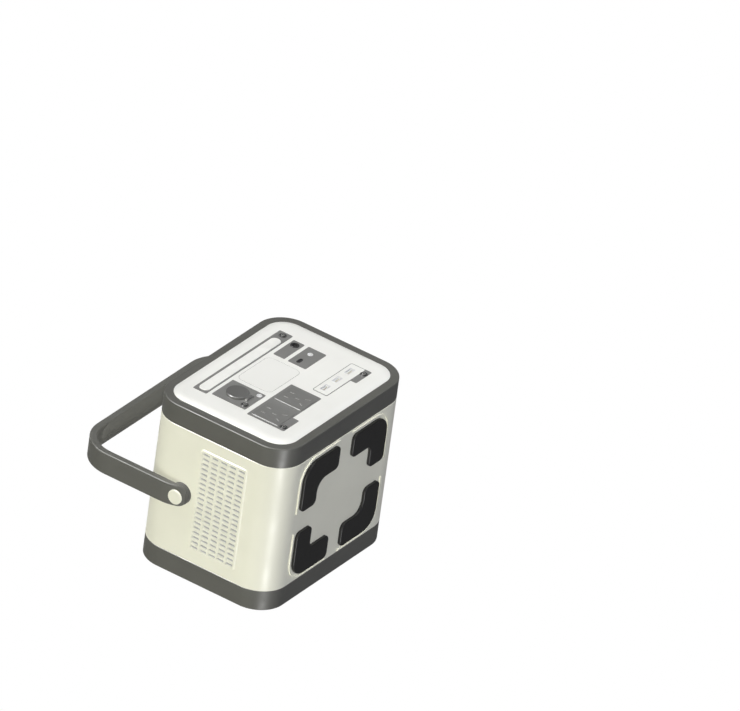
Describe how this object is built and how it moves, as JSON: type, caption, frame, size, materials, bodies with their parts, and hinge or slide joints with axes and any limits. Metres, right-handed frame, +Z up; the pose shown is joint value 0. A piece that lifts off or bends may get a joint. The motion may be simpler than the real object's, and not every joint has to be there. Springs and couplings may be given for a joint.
{
  "type": "portable power station",
  "caption": "Box-shaped camping power station with dark rims, side vents, swinging carry handle, L-shaped feet, and a front panel with lamp, display, mains, USB and car sockets.",
  "frame": {"origin": "middle of the case's footprint, at the height the feet stand on", "axes": "+Z up, the front panel with the sockets faces -Y, +X is the side with the mains inlet"},
  "size_m": [0.2946, 0.2403, 0.2934],
  "materials": {
    "shell_white": "fine satin texture",
    "trim_dark": "fine matte texture",
    "vent_dark": "fine matte texture",
    "screen_metal": "fine mesh",
    "plate_grey": "fine satin texture",
    "outlet_grey": "satin",
    "diffuser": "frosted",
    "window": "satin",
    "usb_white": "satin",
    "button_black": "satin",
    "socket_black": "satin",
    "plated_metal": "plated",
    "spacer": "matte",
    "foot_rubber": "matte",
    "board": "solder mask",
    "frame_black": "moulded",
    "cell_wrap": "shrink wrap",
    "bus_metal": "plated",
    "heatsink": "anodised",
    "winding": "lacquered wire",
    "capacitor": "sleeved"
  },
  "bodies": {
    "case": {"body_sleeve": "shell_white", "front_panel": "shell_white", "rear_cover": "shell_white", "left_vent_grille": "shell_white", "left_dust_screen": "shell_white", "front_rim": "trim_dark", "rear_rim": "trim_dark", "right_vent_grille": "vent_dark", "right_inlay_panel": "vent_dark", "right_dust_screen": "screen_metal", "lamp_bezel": "plate_grey", "dc_input_plate": "plate_grey", "port_plate": "plate_grey", "car_socket_plate": "plate_grey", "ac_plate": "plate_grey", "usb_surround": "plate_grey", "inlet_plate": "plate_grey", "ac_outlet_left": "outlet_grey", "ac_outlet_right": "outlet_grey", "lamp_diffuser": "diffuser", "display_window": "window", "usb_face": "usb_white", "dc_input_jack": "socket_black", "usb_c_port": "socket_black", "barrel_outlets": "socket_black", "ac_inlet": "socket_black", "car_socket_barrel": "plated_metal", "usb_ports": "plated_metal", "inlet_pins": "plated_metal", "cap_hinge_pin": "plated_metal", "pivot_bolts": "plated_metal", "pivot_nuts": "plated_metal", "case_screws": "plated_metal", "pivot_spacers": "spacer", "foot_front_left": "foot_rubber", "foot_front_right": "foot_rubber", "foot_rear_left": "foot_rubber", "foot_rear_right": "foot_rubber", "control_board": "board", "lamp_led_board": "board", "bms_board": "board", "inverter_board": "board", "display_module": "board", "battery_tray": "frame_black", "cell_holders": "frame_black", "fan_frames": "frame_black", "battery_cells": "cell_wrap", "bus_bars": "bus_metal", "inverter_heatsink": "heatsink", "inverter_transformer": "winding", "inverter_capacitors": "capacitor"},
    "handle": {"carry_handle": "trim_dark", "pivot_caps": "shell_white"},
    "lamp_switch_button": {"lamp_button": "button_black"},
    "dc_switch_button": {"dc_button": "button_black"},
    "ac_switch_button": {"ac_button": "button_black"},
    "usb_switch_button": {"usb_button": "button_black"},
    "socket_cap": {"car_socket_cap": "socket_black"},
    "front_fan": {"fan_rotor_front": "frame_black"},
    "rear_fan": {"fan_rotor_rear": "frame_black"}
  },
  "joints": [
    {"name": "handle_swing", "type": "hinge", "parent": "case", "child": "handle", "pos_m": [0, 0, 0.142], "axis": [1, 0, 0], "range_deg": [-90, 90]},
    {"name": "lamp_press", "type": "slide", "parent": "case", "child": "lamp_switch_button", "axis": [0, 1, 0], "range_m": [0, 0.0012], "stiffness_N_per_m": 1600},
    {"name": "dc_press", "type": "slide", "parent": "case", "child": "dc_switch_button", "axis": [0, 1, 0], "range_m": [0, 0.0012], "stiffness_N_per_m": 1600},
    {"name": "ac_press", "type": "slide", "parent": "case", "child": "ac_switch_button", "axis": [0, 1, 0], "range_m": [0, 0.0012], "stiffness_N_per_m": 1600},
    {"name": "usb_press", "type": "slide", "parent": "case", "child": "usb_switch_button", "axis": [0, 1, 0], "range_m": [0, 0.0012], "stiffness_N_per_m": 1600},
    {"name": "cap_lift", "type": "hinge", "parent": "case", "child": "socket_cap", "pos_m": [-0.064, -0.1205, 0.1068], "axis": [1, 0, 0], "range_deg": [0, 110]},
    {"name": "front_fan_spin", "type": "hinge", "parent": "case", "child": "front_fan", "pos_m": [0.115, -0.032, 0.088], "axis": [1, 0, 0], "continuous": true},
    {"name": "rear_fan_spin", "type": "hinge", "parent": "case", "child": "rear_fan", "pos_m": [0.115, 0.032, 0.088], "axis": [1, 0, 0], "continuous": true}
  ]
}
